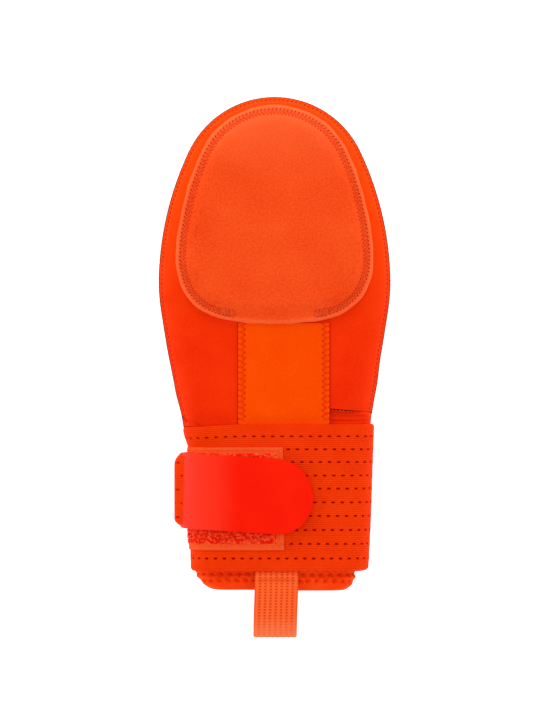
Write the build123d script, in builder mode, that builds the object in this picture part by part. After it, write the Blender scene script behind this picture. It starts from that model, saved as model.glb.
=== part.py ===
from build123d import *
from math import radians, tan
import os

# A sliding mitt for an adult hand, lying palm side down. Millimetres.
# +Z is up, from the palm side to the back of the hand. +Y points to the fingertips.
# The origin is on the surface that it lies on, below the middle of its outline.

# Driving dimensions
neoprene = 3.0
pad_height = 6.5
half_height = 13.0
mid_z = pad_height + half_height
front_z = mid_z + half_height
side_radius = 11.0

# Outline of the mitt's right half: tangent arcs from the middle of the tip to the wrist
body_side = [(0, 140.4), (44.5, 112.3), (60.2, 48), (55.7, 7), (49.3, -26), (45.4, -60)]
panel_end_y = -25.0
flange_width = 3.0
flange_thickness = 2.0
overlock_width = 0.6

# Outlines of the pads' right halves, from the middle of the top to the lower corner
front_pad_side = [(0, 135.8), (38.4, 110.8), (51.2, 58), (47.5, 40), (28, 25)]
palm_pad_side = [(0, 135.8), (38.4, 110.8), (51.2, 55), (47.5, 5), (27, -14.5)]
rim_height = 3.0
rim_width = 7.0
cover_thickness = 2.0
foam_thickness = 2.5
plate_thickness = 2.0
insert_gap = 0.4
thread = 0.5
thread_depth = 0.3

# Centre strip
strip_width = 48.0
strip_middle_x = 4.7
strip_thickness = 1.2
strip_top_y = 21.5
strip_end_y = -42.0

# Cuff
cuff_top = 45.2
cuff_bottom = 41.4
hem_top_y = -106.0
hem_end_y = -115.8
hem_puff = 0.4

# Wrist band, a tube that is a little slack on its right side
band_top_y = -29.6
band_end_y = -105.7
band_left_top, band_right_top = -47.6, 51.2
band_left_end, band_right_end = -44.2, 48.8
band_half_height = 16.4
band_thickness = 2.0
band_radius = 13.0

# Loop patch, tab and strap tail, each a layer outside the band
patch_base = 0.8
patch_pile = 1.4
patch_left, patch_right = -45.2, 5.0
patch_top_y, patch_end_y = -41.6, -94.6
selvedge = 3.0
layer_gap = 0.2
hook_thickness = 1.0
tab_cover_thickness = 1.5
tab_height = 39.5
tab_tip = (0.5, -67.4)
tab_left = -48.6
tab_tilt = -3.5
tail_thickness = 2.0
tail_top_y, tail_end_y = -44.4, -81.8
tail_left, tail_right = -52.1, 50.0
tail_back_x = -12.0
hinge_z = 24.0

# Pull loop: a flat doubled neck over the hem, then an open loop
webbing = 1.4
loop_width = 22.4
loop_middle_x = 0.7
neck_start_y = -106.2
neck_bottom, neck_top = 33.3, 35.3
loop_start_y, loop_end_y = -116.4, -140.4
loop_bottom, loop_top = 29.4, 37.0

os.makedirs("parts", exist_ok=True)
band_top_z = mid_z + band_half_height
band_bottom_z = mid_z - band_half_height
tail_rise = patch_base + patch_pile + layer_gap + tail_thickness
tail_top_z = band_top_z + tail_rise
tail_bottom_z = band_bottom_z - tail_thickness


def outline(side, closed, inset=0.0):
    """A plan outline from its right half, drawn in by inset.

    A closed one ends in an arc that is level in the middle, an open one in a straight line.
    """
    with BuildSketch() as plan:
        with BuildLine():
            heading = Vector(1, 0)
            for start, end in zip(side, side[1:]):
                arc = TangentArc(start, end, tangent=heading)
                heading = arc % 1
            last_x, last_y = side[-1]
            if closed:
                turn = radians(180 - heading.get_angle(Vector(1, 0)))
                TangentArc((last_x, last_y), (0, last_y - last_x * tan(turn / 2)), tangent=heading)
            else:
                Line((last_x, last_y), (0, last_y))
            mirror(about=Plane.YZ)
        make_face()
        if inset > 0:
            offset(amount=-inset)
    return plan.sketch


def dome(side, closed, inset, height, radius):
    """A low block on the plane z = 0 with a rounded upper edge."""
    with BuildPart() as block:
        with BuildSketch():
            add(outline(side, closed, inset))
        extrude(amount=height)
        fillet(block.faces().sort_by(Axis.Z)[-1].edges(), radius=radius)
    return block.part


def slab(side, closed, inset, bottom, thickness):
    """A flat sheet cut to an outline."""
    with BuildPart() as sheet:
        with BuildSketch(Plane.XY.offset(bottom)):
            add(outline(side, closed, inset))
        extrude(amount=thickness)
    return sheet.part


def across(y, left, right):
    """A plane across the wrist, facing the cuff, in the middle of left and right."""
    return Plane(origin=((left + right) / 2, y, mid_z), x_dir=(1, 0, 0), z_dir=(0, -1, 0))


def wrist_tube(y1, left1, right1, y2, left2, right2, bottom, top, radius):
    """A filled tube round the wrist, from a section at y1 to one at y2."""
    lift = (bottom + top) / 2 - mid_z
    with BuildPart() as tube:
        with BuildSketch(across(y1, left1, right1)):
            with Locations((0, lift)):
                RectangleRounded(right1 - left1, top - bottom, radius)
        with BuildSketch(across(y2, left2, right2)):
            with Locations((0, lift)):
                RectangleRounded(right2 - left2, top - bottom, radius)
        loft()
    return tube.part


def band_tube(grow):
    """The filled outside of the wrist band, grown outwards."""
    return wrist_tube(
        band_top_y, band_left_top - grow, band_right_top + grow,
        band_end_y, band_left_end - grow, band_right_end + grow,
        band_bottom_z - grow, band_top_z + grow, band_radius + grow,
    )


def tail_tube(shrink):
    """The filled outside of the strap tail: on the band behind, over the patch in front."""
    return wrist_tube(
        band_top_y, tail_left + shrink, tail_right, band_end_y, tail_left + shrink, tail_right,
        tail_bottom_z + shrink, tail_top_z - shrink, band_radius + tail_rise - shrink,
    )


def upright(left, right, low_y, high_y, bottom, top):
    """A block between the given planes."""
    with BuildPart() as block:
        with BuildSketch(Plane.XY.offset(bottom)):
            with Locations(((left + right) / 2, (low_y + high_y) / 2)):
                Rectangle(right - left, high_y - low_y)
        extrude(amount=top - bottom)
    return block.part


def tab_plan(inset=0.0):
    """The tab's plan as a tall block: straight at the left, rounded at the tip."""
    reach = tab_tip[0] - tab_left
    with BuildPart() as block:
        with BuildSketch(Plane.XY.offset(mid_z)):
            with Locations(tab_tip):
                Circle(tab_height / 2 - inset)
                with Locations(Location((0, 0, 0), (0, 0, tab_tilt))):
                    with Locations((-reach / 2, 0)):
                        Rectangle(reach, tab_height - 2 * inset)
        extrude(amount=60)
        split(bisect_by=Plane.YZ.offset(tab_left), keep=Keep.TOP)
    return block.part


def save(part, name):
    part.label = name
    export_step(part, f"parts/{name}.step")


# Body of the mitt: two dished neoprene panels, sewn together at a flat flange
body_outside = dome(body_side, False, flange_width, half_height, side_radius)
body_hollow = dome(body_side, False, flange_width + neoprene, half_height - neoprene, side_radius - neoprene)
flange = slab(body_side, False, overlock_width, 0, flange_thickness)

with BuildPart() as half_panel:
    add(body_outside)
    add(flange)
    add(body_hollow, mode=Mode.SUBTRACT)
    split(bisect_by=Plane.XZ.offset(-panel_end_y), keep=Keep.BOTTOM)

with BuildPart(Plane.XY.offset(mid_z)) as front_shell:
    add(half_panel.part)
save(front_shell.part, "front_shell")

with BuildPart() as palm_shell:
    mirror(front_shell.part, about=Plane.XY.offset(mid_z))
save(palm_shell.part, "palm_shell")

overlock_outside = slab(body_side, False, 0, mid_z - flange_thickness, 2 * flange_thickness)
overlock_inside = slab(body_side, False, overlock_width, mid_z - flange_thickness, 2 * flange_thickness)

with BuildPart() as edge_overlock:
    add(overlock_outside)
    add(overlock_inside, mode=Mode.SUBTRACT)
    split(bisect_by=Plane.XZ.offset(-panel_end_y), keep=Keep.BOTTOM)
save(edge_overlock.part, "edge_overlock")


# Pads: a sewn-down cover over foam and a stiff plate, made on z = 0 and put on each panel
def pad_pieces(side):
    """Cover, foam, plate and stitching of a pad that stands on z = 0."""
    inside = rim_width + cover_thickness
    rim = dome(side, True, 0, rim_height, 1.2)
    crown = dome(side, True, rim_width, pad_height, 3.0)
    pocket = slab(side, True, inside, 0, pad_height - cover_thickness)
    with BuildPart() as cover:
        add(rim)
        add(crown)
        add(pocket, mode=Mode.SUBTRACT)
    foam = slab(side, True, inside + insert_gap, 0, foam_thickness)
    plate = slab(side, True, inside + insert_gap, foam_thickness, plate_thickness)
    outer_row = slab(side, True, 2.4, rim_height, thread_depth)
    outer_hole = slab(side, True, 2.4 + thread, rim_height, thread_depth)
    inner_row = slab(side, True, 4.8, rim_height, thread_depth)
    inner_hole = slab(side, True, 4.8 + thread, rim_height, thread_depth)
    low_y = side[-1][1] - 4
    mouth = upright(-21.5, 21.5, low_y, low_y + 16, 0, pad_height)
    with BuildPart() as stitches:
        add(outer_row)
        add(outer_hole, mode=Mode.SUBTRACT)
        add(mouth, mode=Mode.SUBTRACT)
    with BuildPart() as inner_stitches:
        add(inner_row)
        add(inner_hole, mode=Mode.SUBTRACT)
        add(mouth, mode=Mode.SUBTRACT)
    with BuildPart() as both_rows:
        add(stitches.part)
        add(inner_stitches.part)
    return {"cover": cover.part, "foam": foam, "plate": plate, "stitching": both_rows.part}


for piece, shape in pad_pieces(front_pad_side).items():
    with BuildPart(Plane.XY.offset(front_z)) as front_piece:
        add(shape)
    save(front_piece.part, f"front_pad_{piece}")

for piece, shape in pad_pieces(palm_pad_side).items():
    with BuildPart(Plane.XY.offset(-pad_height)) as raised:
        add(shape)
    with BuildPart() as palm_piece:
        mirror(raised.part, about=Plane.XY)
    save(palm_piece.part, f"palm_pad_{piece}")

# Centre strip with its two columns of stitches, lying on the front panel and the cuff
strip_left = strip_middle_x - strip_width / 2
strip_right = strip_middle_x + strip_width / 2
strip = upright(strip_left, strip_right, strip_end_y, strip_top_y, front_z, front_z + strip_thickness)

with BuildPart() as centre_strip:
    add(strip)
save(centre_strip.part, "centre_strip")

with BuildPart() as strip_stitching:
    with BuildSketch(Plane.XY.offset(front_z + strip_thickness)):
        for edge in (strip_left + 1.0, strip_left + 4.0, strip_right - 4.0, strip_right - 1.0):
            with Locations((edge, (strip_top_y + band_top_y) / 2 + 0.5)):
                Rectangle(thread, strip_top_y - band_top_y - 2)
    extrude(amount=thread_depth)
save(strip_stitching.part, "strip_stitching")

# Bound lower edge of the front panel, on each side of the strip
seam_width = 1.6
seam_right = upright(strip_right + 0.4, 35, panel_end_y, panel_end_y + seam_width, front_z, front_z + 0.5)
seam_left = upright(-35, strip_left - 0.4, panel_end_y, panel_end_y + seam_width, front_z, front_z + 0.5)

with BuildPart() as panel_seam:
    add(seam_right)
    add(seam_left)
save(panel_seam.part, "panel_seam")

# Cuff: a tapered neoprene tube with a rolled hem
wall = neoprene
cuff_outside = wrist_tube(
    panel_end_y, -cuff_top, cuff_top, hem_top_y, -cuff_bottom, cuff_bottom,
    pad_height, front_z, side_radius,
)
cuff_inside = wrist_tube(
    panel_end_y, -cuff_top + wall, cuff_top - wall, hem_top_y, -cuff_bottom + wall, cuff_bottom - wall,
    pad_height + wall, front_z - wall, side_radius - wall,
)

with BuildPart() as cuff_sleeve:
    add(cuff_outside)
    add(cuff_inside, mode=Mode.SUBTRACT)
save(cuff_sleeve.part, "cuff_sleeve")

with BuildPart() as cuff_hem:
    with BuildSketch(across(hem_top_y, -1, 1)):
        RectangleRounded(2 * cuff_bottom, 2 * (half_height + hem_puff), side_radius)
    extrude(amount=hem_top_y - hem_end_y)
    fillet(cuff_hem.faces().sort_by(Axis.Y)[0].edges(), radius=3.4)
    with BuildSketch(across(hem_top_y, -1, 1)):
        RectangleRounded(2 * (cuff_bottom - wall), 2 * (half_height - wall), side_radius - wall)
    extrude(amount=hem_top_y - hem_end_y, mode=Mode.SUBTRACT)
save(cuff_hem.part, "cuff_hem")

with BuildPart() as hem_stitching:
    with BuildSketch(across(hem_top_y - 2.0, -1, 1)):
        RectangleRounded(2 * cuff_bottom + 0.6, 2 * (half_height + hem_puff) + 0.6, side_radius + 0.3)
        RectangleRounded(2 * cuff_bottom, 2 * (half_height + hem_puff), side_radius, mode=Mode.SUBTRACT)
    extrude(amount=3.5)
save(hem_stitching.part, "hem_stitching")

# Wrist band
band_outside = band_tube(0)
band_inside = band_tube(-band_thickness)

with BuildPart() as wrist_band:
    add(band_outside)
    add(band_inside, mode=Mode.SUBTRACT)
save(wrist_band.part, "wrist_band")

# Loop patch: woven base, loop pile and the thread along its selvedges
high = 60.0
base_outside = band_tube(patch_base)
base_region = upright(patch_left, patch_right, patch_end_y, patch_top_y, mid_z, high)
pile_region = upright(
    patch_left, patch_right - selvedge, patch_end_y + selvedge, patch_top_y - selvedge, mid_z, high
)

with BuildPart() as loop_patch:
    add(base_outside)
    add(band_outside, mode=Mode.SUBTRACT)
    add(base_region, mode=Mode.INTERSECT)
save(loop_patch.part, "loop_patch")

pile_outside = band_tube(patch_base + patch_pile)
with BuildPart() as loop_pile:
    add(pile_outside)
    add(base_outside, mode=Mode.SUBTRACT)
    add(pile_region, mode=Mode.INTERSECT)
save(loop_pile.part, "loop_pile")

with BuildPart() as patch_stitching:
    with BuildSketch(Plane.XY.offset(band_top_z + patch_base)):
        for row_y in (patch_end_y + 1.5, patch_top_y - 1.5):
            with Locations(((patch_right - 1.5 - 33) / 2, row_y)):
                Rectangle(patch_right - 1.5 + 33, thread)
        with Locations((patch_right - 1.5, (patch_top_y + patch_end_y) / 2)):
            Rectangle(thread, patch_top_y - patch_end_y - 3)
    extrude(amount=thread_depth)
save(patch_stitching.part, "patch_stitching")

# Hook tape and cover of the tab, over the pile and down round the left side
hook_low = patch_base + patch_pile + layer_gap
cover_low = hook_low + hook_thickness
hook_inside = band_tube(hook_low)
hook_outside = band_tube(cover_low)
cover_outside = band_tube(cover_low + tab_cover_thickness)
tab_block = tab_plan()
hook_block = tab_plan(2.0)

with BuildPart() as hook_tape:
    add(hook_outside)
    add(hook_inside, mode=Mode.SUBTRACT)
    add(hook_block, mode=Mode.INTERSECT)
    split(bisect_by=Plane.YZ.offset(-42), keep=Keep.TOP)
save(hook_tape.part, "hook_tape")

with BuildPart() as tab_cover:
    add(cover_outside)
    add(hook_outside, mode=Mode.SUBTRACT)
    add(tab_block, mode=Mode.INTERSECT)
save(tab_cover.part, "tab_cover")

# Strap tail: narrow elastic from the back of the band, round the left side, to the tab.
# It is cut at the height where it bends when the tab lifts.
tail_outside = tail_tube(0)
tail_inside = tail_tube(tail_thickness)
tail_front_region = upright(-60, tab_left, tail_end_y, tail_top_y, hinge_z, high)
tail_back_region = upright(-60, tail_back_x, tail_end_y, tail_top_y, -2, hinge_z - 0.3)

with BuildPart() as strap_tail_front:
    add(tail_outside)
    add(tail_inside, mode=Mode.SUBTRACT)
    add(tail_front_region, mode=Mode.INTERSECT)
save(strap_tail_front.part, "strap_tail_front")

with BuildPart() as strap_tail_back:
    add(tail_outside)
    add(tail_inside, mode=Mode.SUBTRACT)
    add(tail_back_region, mode=Mode.INTERSECT)
save(strap_tail_back.part, "strap_tail_back")

# Box of stitches that holds the tail to the back of the band
box_size = 17.0
with BuildPart() as tail_stitching:
    with BuildSketch(Plane.XY.offset(tail_bottom_z - thread_depth)):
        with Locations((tail_back_x - box_size / 2 - 2, (tail_top_y + tail_end_y) / 2)):
            Rectangle(box_size, tail_top_y - tail_end_y - 6)
            Rectangle(box_size - 2 * thread, tail_top_y - tail_end_y - 6 - 2 * thread, mode=Mode.SUBTRACT)
    extrude(amount=thread_depth)
save(tail_stitching.part, "tail_stitching")

with BuildPart() as tab_stitching:
    with BuildSketch(Plane.XY.offset(band_top_z + cover_low + tab_cover_thickness)):
        with Locations((-31, -64.2)):
            Rectangle(thread, tab_height - 8)
    extrude(amount=thread_depth)
save(tab_stitching.part, "tab_stitching")

# Pull loop: webbing folded into an open loop, its doubled neck lying on the hem
side_view = Plane(origin=(loop_middle_x, 0, 0), x_dir=(0, 1, 0), z_dir=(1, 0, 0))
loop_middle = ((loop_start_y + loop_end_y) / 2, (loop_bottom + loop_top) / 2)
loop_length = loop_start_y - loop_end_y
loop_height = loop_top - loop_bottom

with BuildPart() as pull_loop:
    with BuildSketch(side_view):
        with Locations(loop_middle):
            RectangleRounded(loop_length, loop_height, loop_height / 2 - 0.1)
        with Locations((neck_start_y - (neck_start_y - loop_start_y + 3) / 2, (neck_bottom + neck_top) / 2)):
            Rectangle(neck_start_y - loop_start_y + 3, neck_top - neck_bottom)
        with Locations(loop_middle):
            RectangleRounded(
                loop_length - 2 * webbing, loop_height - 2 * webbing, loop_height / 2 - webbing - 0.1,
                mode=Mode.SUBTRACT,
            )
    extrude(amount=loop_width / 2, both=True)
save(pull_loop.part, "pull_loop")

with BuildPart() as loop_anchor:
    with BuildSketch(Plane.XY.offset(front_z + 0.1)):
        with Locations((loop_middle_x, band_end_y + 7)):
            Rectangle(loop_width, 14)
    extrude(amount=1.1)
save(loop_anchor.part, "loop_anchor")

with BuildPart() as pull_loop_bartack:
    with BuildSketch(Plane.XY.offset(neck_top)):
        with Locations((loop_middle_x, -110)):
            Rectangle(loop_width - 3, 2)
    extrude(amount=thread_depth)
save(pull_loop_bartack.part, "pull_loop_bartack")
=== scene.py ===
import bpy
import math
import random
import numpy as np
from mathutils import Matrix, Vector


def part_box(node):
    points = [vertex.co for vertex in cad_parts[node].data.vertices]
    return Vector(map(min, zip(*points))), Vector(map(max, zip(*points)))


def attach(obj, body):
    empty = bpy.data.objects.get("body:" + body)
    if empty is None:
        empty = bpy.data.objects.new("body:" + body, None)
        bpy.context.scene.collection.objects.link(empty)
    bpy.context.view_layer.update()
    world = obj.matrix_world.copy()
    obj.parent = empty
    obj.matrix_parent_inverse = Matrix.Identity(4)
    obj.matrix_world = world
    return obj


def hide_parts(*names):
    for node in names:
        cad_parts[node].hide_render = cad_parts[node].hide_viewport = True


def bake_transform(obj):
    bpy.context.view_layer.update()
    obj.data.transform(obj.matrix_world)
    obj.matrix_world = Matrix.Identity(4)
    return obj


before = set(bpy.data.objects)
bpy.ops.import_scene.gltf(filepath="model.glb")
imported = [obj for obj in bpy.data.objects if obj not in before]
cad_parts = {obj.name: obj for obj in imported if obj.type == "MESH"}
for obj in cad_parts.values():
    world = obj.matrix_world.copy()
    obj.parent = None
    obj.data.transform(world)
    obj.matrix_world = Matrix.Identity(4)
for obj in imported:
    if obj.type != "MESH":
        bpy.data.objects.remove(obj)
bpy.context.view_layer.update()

# A sliding mitt: padded neoprene hand guard with an elastic wrist band. Sizes are in millimetres here,
# and each mesh is written in metres. The mitt lies palm side down, fingertips towards +Y.
MM = 0.001


def span(node):
    """Lowest and highest corner of a CAD node, in millimetres."""
    low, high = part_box(node)
    return np.array(low) / MM, np.array(high) / MM


# Heights and ends of the frame that the cloth follows
mid_z = span("palm_shell")[1][2]
front_z = span("front_shell")[1][2]
palm_z = span("palm_shell")[0][2]
panel_end = span("front_shell")[0][1]
band_low, band_high = span("wrist_band")
hem_low, hem_high = span("cuff_hem")
patch_low, patch_high = span("loop_patch")
tail_low, tail_high = span("strap_tail_back")
cover_high = span("tab_cover")[1]
loop_low, loop_high = span("pull_loop")
strip_low, strip_high = span("centre_strip")
neoprene = 3.0


# ---------------------------------------------------------------- materials

def linear(hex_colour):
    """An sRGB hex colour as linear red, green, blue and alpha."""
    parts = [int(hex_colour[i:i + 2], 16) / 255 for i in (1, 3, 5)]
    return [c / 12.92 if c <= 0.04045 else ((c + 0.055) / 1.055) ** 2.4 for c in parts] + [1.0]


def add_node(tree, kind, values=(), links=(), **settings):
    """Adds a shader node with its settings, input values and incoming links."""
    made = tree.nodes.new("ShaderNode" + kind)
    for key, value in settings.items():
        setattr(made, key, value)
    for key, value in dict(values).items():
        made.inputs[key].default_value = value
    for key, source in dict(links).items():
        tree.links.new(source, made.inputs[key])
    return made


def start_material(name, roughness, **finish):
    """A node material with its output, shader and coordinates. finish gives more plain values of the shader."""
    material = bpy.data.materials.new(name)
    material.use_nodes = True
    tree = material.node_tree
    tree.nodes.clear()
    shader = add_node(tree, "BsdfPrincipled", {
        "Roughness": roughness, "IOR": 1.3, "Specular IOR Level": 0.06,
        "Specular Tint": linear("#FF8A60"), "Sheen Tint": linear("#FF6428"),
    })
    for key, value in finish.items():
        shader.inputs[key.replace("_", " ")].default_value = value
    add_node(tree, "OutputMaterial", links={"Surface": shader.outputs[0]})
    return material, tree, shader, add_node(tree, "TexCoord")


def noise(tree, place, scale, detail=2.0, roughness=0.5):
    """Noise in the mitt's own metres. A scale of 1000 makes a grain of about 1 mm."""
    values = {"Scale": scale, "Detail": detail, "Roughness": roughness}
    return add_node(tree, "TexNoise", values, {"Vector": place.outputs["Object"]}).outputs["Fac"]


def ribs(tree, place, spacing, distortion, direction, detail=1.0):
    """Ribs of a weave, spacing metres apart along one direction of the piece's UV map."""
    values = {"Scale": 0.314 / spacing, "Distortion": distortion, "Detail": detail}
    links = {"Vector": place.outputs["UV"]}
    return add_node(tree, "TexWave", values, links, bands_direction=direction).outputs["Fac"]


def blended(tree, share, first, second):
    """Two patterns mixed, with this share of the second."""
    return add_node(tree, "Mix", {"Factor": share}, {"A": first, "B": second}).outputs[0]


def fade(tree, place, kind, axis, start, stop, most=1.0):
    """From 0 at start to most at stop, along an axis of the Object or UV coordinates, in metres."""
    split = add_node(tree, "SeparateXYZ", links={"Vector": place.outputs[kind]})
    values = {"From Min": start, "From Max": stop, "To Max": most}
    links = {"Value": split.outputs[axis]}
    return add_node(tree, "MapRange", values, links, interpolation_type="SMOOTHSTEP").outputs[0]


def turned(tree, factor, colour, base):
    """A base colour turned towards another by a factor."""
    mixed = add_node(tree, "Mix", {"B": linear(colour)}, {"Factor": factor, "A": base}, data_type="RGBA")
    return mixed.outputs["Result"]


def tone(tree, factor, dark, light, low=0.35, high=0.65):
    """A ramp between two colours over part of a pattern's range."""
    ramp = add_node(tree, "ValToRGB", links={"Fac": factor})
    for end, position, colour in zip(ramp.color_ramp.elements, (low, high), (dark, light)):
        end.position = position
        end.color = linear(colour)
    return ramp.outputs["Color"]


def surface(tree, shader, colour, height=None, depth=0.0, strength=1.0):
    """Gives the shader its colour and, from a height pattern, its relief of this depth in metres."""
    tree.links.new(colour, shader.inputs["Base Color"])
    if height:
        bump = add_node(tree, "Bump", {"Strength": strength, "Distance": depth}, {"Height": height})
        tree.links.new(bump.outputs["Normal"], shader.inputs["Normal"])


def grained(name, scale, dark, light, roughness, low=0.35, high=0.65, depth=None, **finish):
    """A plain material with one fine grain, raised where a depth in metres is given."""
    material, tree, shader, place = start_material(name, roughness, **finish)
    grain = noise(tree, place, scale)
    surface(tree, shader, tone(tree, grain, dark, light, low, high), grain if depth else None, depth, 0.6)
    return material


def neoprene_jersey(name, dark, light):
    """Neoprene foam laminated with nylon jersey: smooth, matt, with a fine even knit, and painted light that
    turns it more orange towards the fingers.
    """
    material, tree, shader, place = start_material(
        name, 0.62, Sheen_Weight=0.3, Sheen_Roughness=0.45, Sheen_Tint=linear("#FF8A00"),
    )
    grain = noise(tree, place, 1500.0)
    knit = tone(tree, blended(tree, 0.5, noise(tree, place, 70.0, 3.0), grain), dark, light)
    # Painted light: more orange towards the fingertips, as if lit more strongly from that end
    painted_tip_light = turned(tree, fade(tree, place, "Object", "Y", 0.0, 0.115, 0.75), "#F04600", knit)
    surface(tree, shader, painted_tip_light, grain, 0.00012, 0.6)
    return material


def foam_core():
    """The cut edge of the foam between its two jerseys: near-black closed cells."""
    material, tree, shader, place = start_material("foam_core", 0.9)
    cells = add_node(tree, "TexVoronoi", {"Scale": 2500.0}, {"Vector": place.outputs["Object"]})
    depth = cells.outputs["Distance"]
    surface(tree, shader, tone(tree, depth, "#0E0B0A", "#3A2A22", 0.1, 0.8), depth, 0.0001)
    return material


def brushed_tricot():
    """Brushed loop-back tricot of the pads: a short fuzzy nap, with painted highlights along the rolled rim and
    towards the fingertips.
    """
    material, tree, shader, place = start_material(
        "brushed_tricot", 0.9, Sheen_Weight=0.35, Sheen_Roughness=0.45, Sheen_Tint=linear("#FF7A40"),
    )
    fuzz = noise(tree, place, 950.0, 3.0, 0.7)
    fabric = tone(tree, blended(tree, 0.28, fuzz, noise(tree, place, 45.0)), "#E6380A", "#FC5A24", 0.3, 0.7)
    # Painted highlight: lighter near the rolled rim, where the nap catches the light
    painted_rim_light = turned(tree, fade(tree, place, "UV", "Y", 0.0135, 0.0045, 0.42), "#FF7A48", fabric)
    # Painted highlight: lighter towards the fingertip end of the pad, as if lit from there
    brushed = turned(tree, fade(tree, place, "Object", "Y", 0.095, 0.132, 0.45), "#FF6C3A", painted_rim_light)
    surface(tree, shader, brushed, fuzz, 0.0003, 0.8)
    return material


def sueded_strip():
    """Sueded microfibre of the centre strip: a brighter orange with a fine dry grain."""
    material, tree, shader, place = start_material(
        "sueded_strip", 0.85, Sheen_Weight=0.15, Sheen_Tint=linear("#FF6A10"),
    )
    grain = noise(tree, place, 1100.0, 4.0)
    mixed = blended(tree, 0.4, grain, noise(tree, place, 60.0))
    surface(tree, shader, tone(tree, mixed, "#F04000", "#FA5004", 0.3, 0.7), grain, 0.00018, 0.7)
    return material


def ribbed_elastic():
    """Woven elastic: fine ribs run along it, drawn 1.1 mm apart so that they show, with a rubbery give."""
    material, tree, shader, place = start_material(
        "ribbed_elastic", 0.7, Sheen_Weight=0.1, Sheen_Tint=linear("#FF5A10"),
    )
    weave = blended(tree, 0.3, ribs(tree, place, 0.0011, 0.4, "Y"), ribs(tree, place, 0.0008, 0.6, "X"))
    mixed = blended(tree, 0.45, weave, noise(tree, place, 90.0, 3.0))
    surface(tree, shader, tone(tree, mixed, "#E82C04", "#F64008", 0.2, 0.8), weave, 0.0002, 0.8)
    return material


def tab_skin():
    """Moulded soft rubber skin of the tab: pure red, smooth and satin, with a painted highlight near its sewn
    end, where it curves down over the side.
    """
    material, tree, shader, place = start_material("tab_skin", 0.5, IOR=1.4, Specular_IOR_Level=0.3)
    cloud = noise(tree, place, 40.0)
    # Painted highlight: paler near the sewn end, where the skin curves down over the side, and not at the very
    # end
    bend_highlight = fade(tree, place, "UV", "X", 0.027, 0.009, 0.7)
    side = fade(tree, place, "UV", "X", 0.002, 0.008)
    paler = add_node(tree, "Math", links={0: bend_highlight, 1: side}, operation="MULTIPLY").outputs[0]
    skin = turned(tree, paler, "#FF3A26", tone(tree, cloud, "#F41000", "#FA1802"))
    rough = add_node(tree, "MapRange", {"To Min": 0.42, "To Max": 0.52}, {"Value": cloud})
    tree.links.new(rough.outputs[0], shader.inputs["Roughness"])
    surface(tree, shader, skin, noise(tree, place, 2200.0, 1.0), 0.00004, 0.5)
    return material


def loop_selvedge():
    """Flat woven edge of the loop tape, paler than its pile, with a fine rib."""
    material, tree, shader, place = start_material("loop_selvedge", 0.75, Sheen_Weight=0.05)
    weave = ribs(tree, place, 0.0006, 0.8, "X", 2.0)
    surface(tree, shader, tone(tree, weave, "#F04A1C", "#FC6230", 0.1, 0.9), weave, 0.0001, 0.8)
    return material


def polyester_webbing():
    """Coarse polyester webbing: crowned yarns, with painted shade in the darker gaps between them, and paler
    towards the fold.
    """
    material, tree, shader, place = start_material("polyester_webbing", 0.55, Sheen_Weight=0.2)
    crown = add_node(tree, "Attribute", attribute_name="crown").outputs["Fac"]
    fibre = noise(tree, place, 2500.0)
    # Painted shade: the colour follows the yarns' crown height, darker in the sunk gaps between them
    yarn_and_gap_shade = tone(tree, blended(tree, 0.2, crown, fibre), "#E0300A", "#FA642C", 0.15, 0.75)
    # Paler over the last rows towards the fold
    paler_fold = turned(tree, fade(tree, place, "Object", "Y", -0.127, -0.139, 0.6), "#FF8254", yarn_and_gap_shade)
    surface(tree, shader, paler_fold, fibre, 0.00008, 0.6)
    return material


neoprene_cloth = neoprene_jersey("neoprene_jersey", "#EA2604", "#F43408")
# The hem's jersey is a lighter copy of the panel's: painted light on the rolled edge
hem_cloth_painted_light = neoprene_jersey("neoprene_hem", "#F43406", "#FC4A14")
core = foam_core()
nap = brushed_tricot()
suede = sueded_strip()
elastic = ribbed_elastic()
tab_rubber = tab_skin()
selvedge_cloth = loop_selvedge()
webbing_cloth = polyester_webbing()
# Painted shade for the inside of a ventilation hole or a needle hole and for the strip's shadowed cut edges: the
# same elastic in deep shade
shade = grained("hole_shade", 1800.0, "#B40E04", "#D41A08", 0.95)
# The tab's trimmed rubber edge, paler than its skin: a painted highlight along the bevel
tab_edge_highlight = grained("cut_rubber", 900.0, "#F83A18", "#FF5A34", 0.6)
# Moulded nylon of the hook tape: a slightly clear red
hook_plastic = grained(
    "hook_nylon", 300.0, "#D81A06", "#F03414", 0.38,
    Subsurface_Weight=0.15, Subsurface_Radius=(0.001, 0.0003, 0.0002),
)
# Brushed nylon loops: red in their depth, with pale shiny tops
loop_nylon = grained("loop_yarn", 700.0, "#F01800", "#FF6236", 0.5, 0.45, 0.62, Sheen_Weight=0.3)
# Bonded polyester thread: the plain one, a paler copy for the pad's zigzag and other rows, and a brighter,
# fuller textured copy for the overlock. Both copies are lighter partly by painted light, making up for the shade
# in the pad's groove and on the sewn flange
thread = grained("sewing_thread", 1600.0, "#E82C04", "#FA4208", 0.6)
pale_thread_painted_light = grained("pad_thread", 1600.0, "#F2501C", "#FF6C38", 0.7)
bright_thread_painted_light = grained("edge_thread", 1600.0, "#F83C00", "#FF5208", 0.8)
# Polyethylene sheet of the protective insert: matt black with a fine moulded grain
plate_plastic = grained("moulded_plate", 1200.0, "#141414", "#1E1E1E", 0.5, depth=0.00008)


# ---------------------------------------------------------------- making cloth, threads and holes

def only(piece):
    """Selects one object and makes it active."""
    bpy.ops.object.select_all(action="DESELECT")
    piece.select_set(True)
    bpy.context.view_layer.objects.active = piece


def smooth_step(x):
    """0 below 0, 1 above 1, and an even curve between."""
    x = np.clip(x, 0, 1)
    return x * x * (3 - 2 * x)


def between(start, stop, share):
    """The value at a share of the way from start to stop."""
    return start + (stop - start) * share


def bell(x, y=0):
    """1 at the middle, falling smoothly to a third at a distance of 1."""
    return np.exp(-(x ** 2 + y ** 2))


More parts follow.
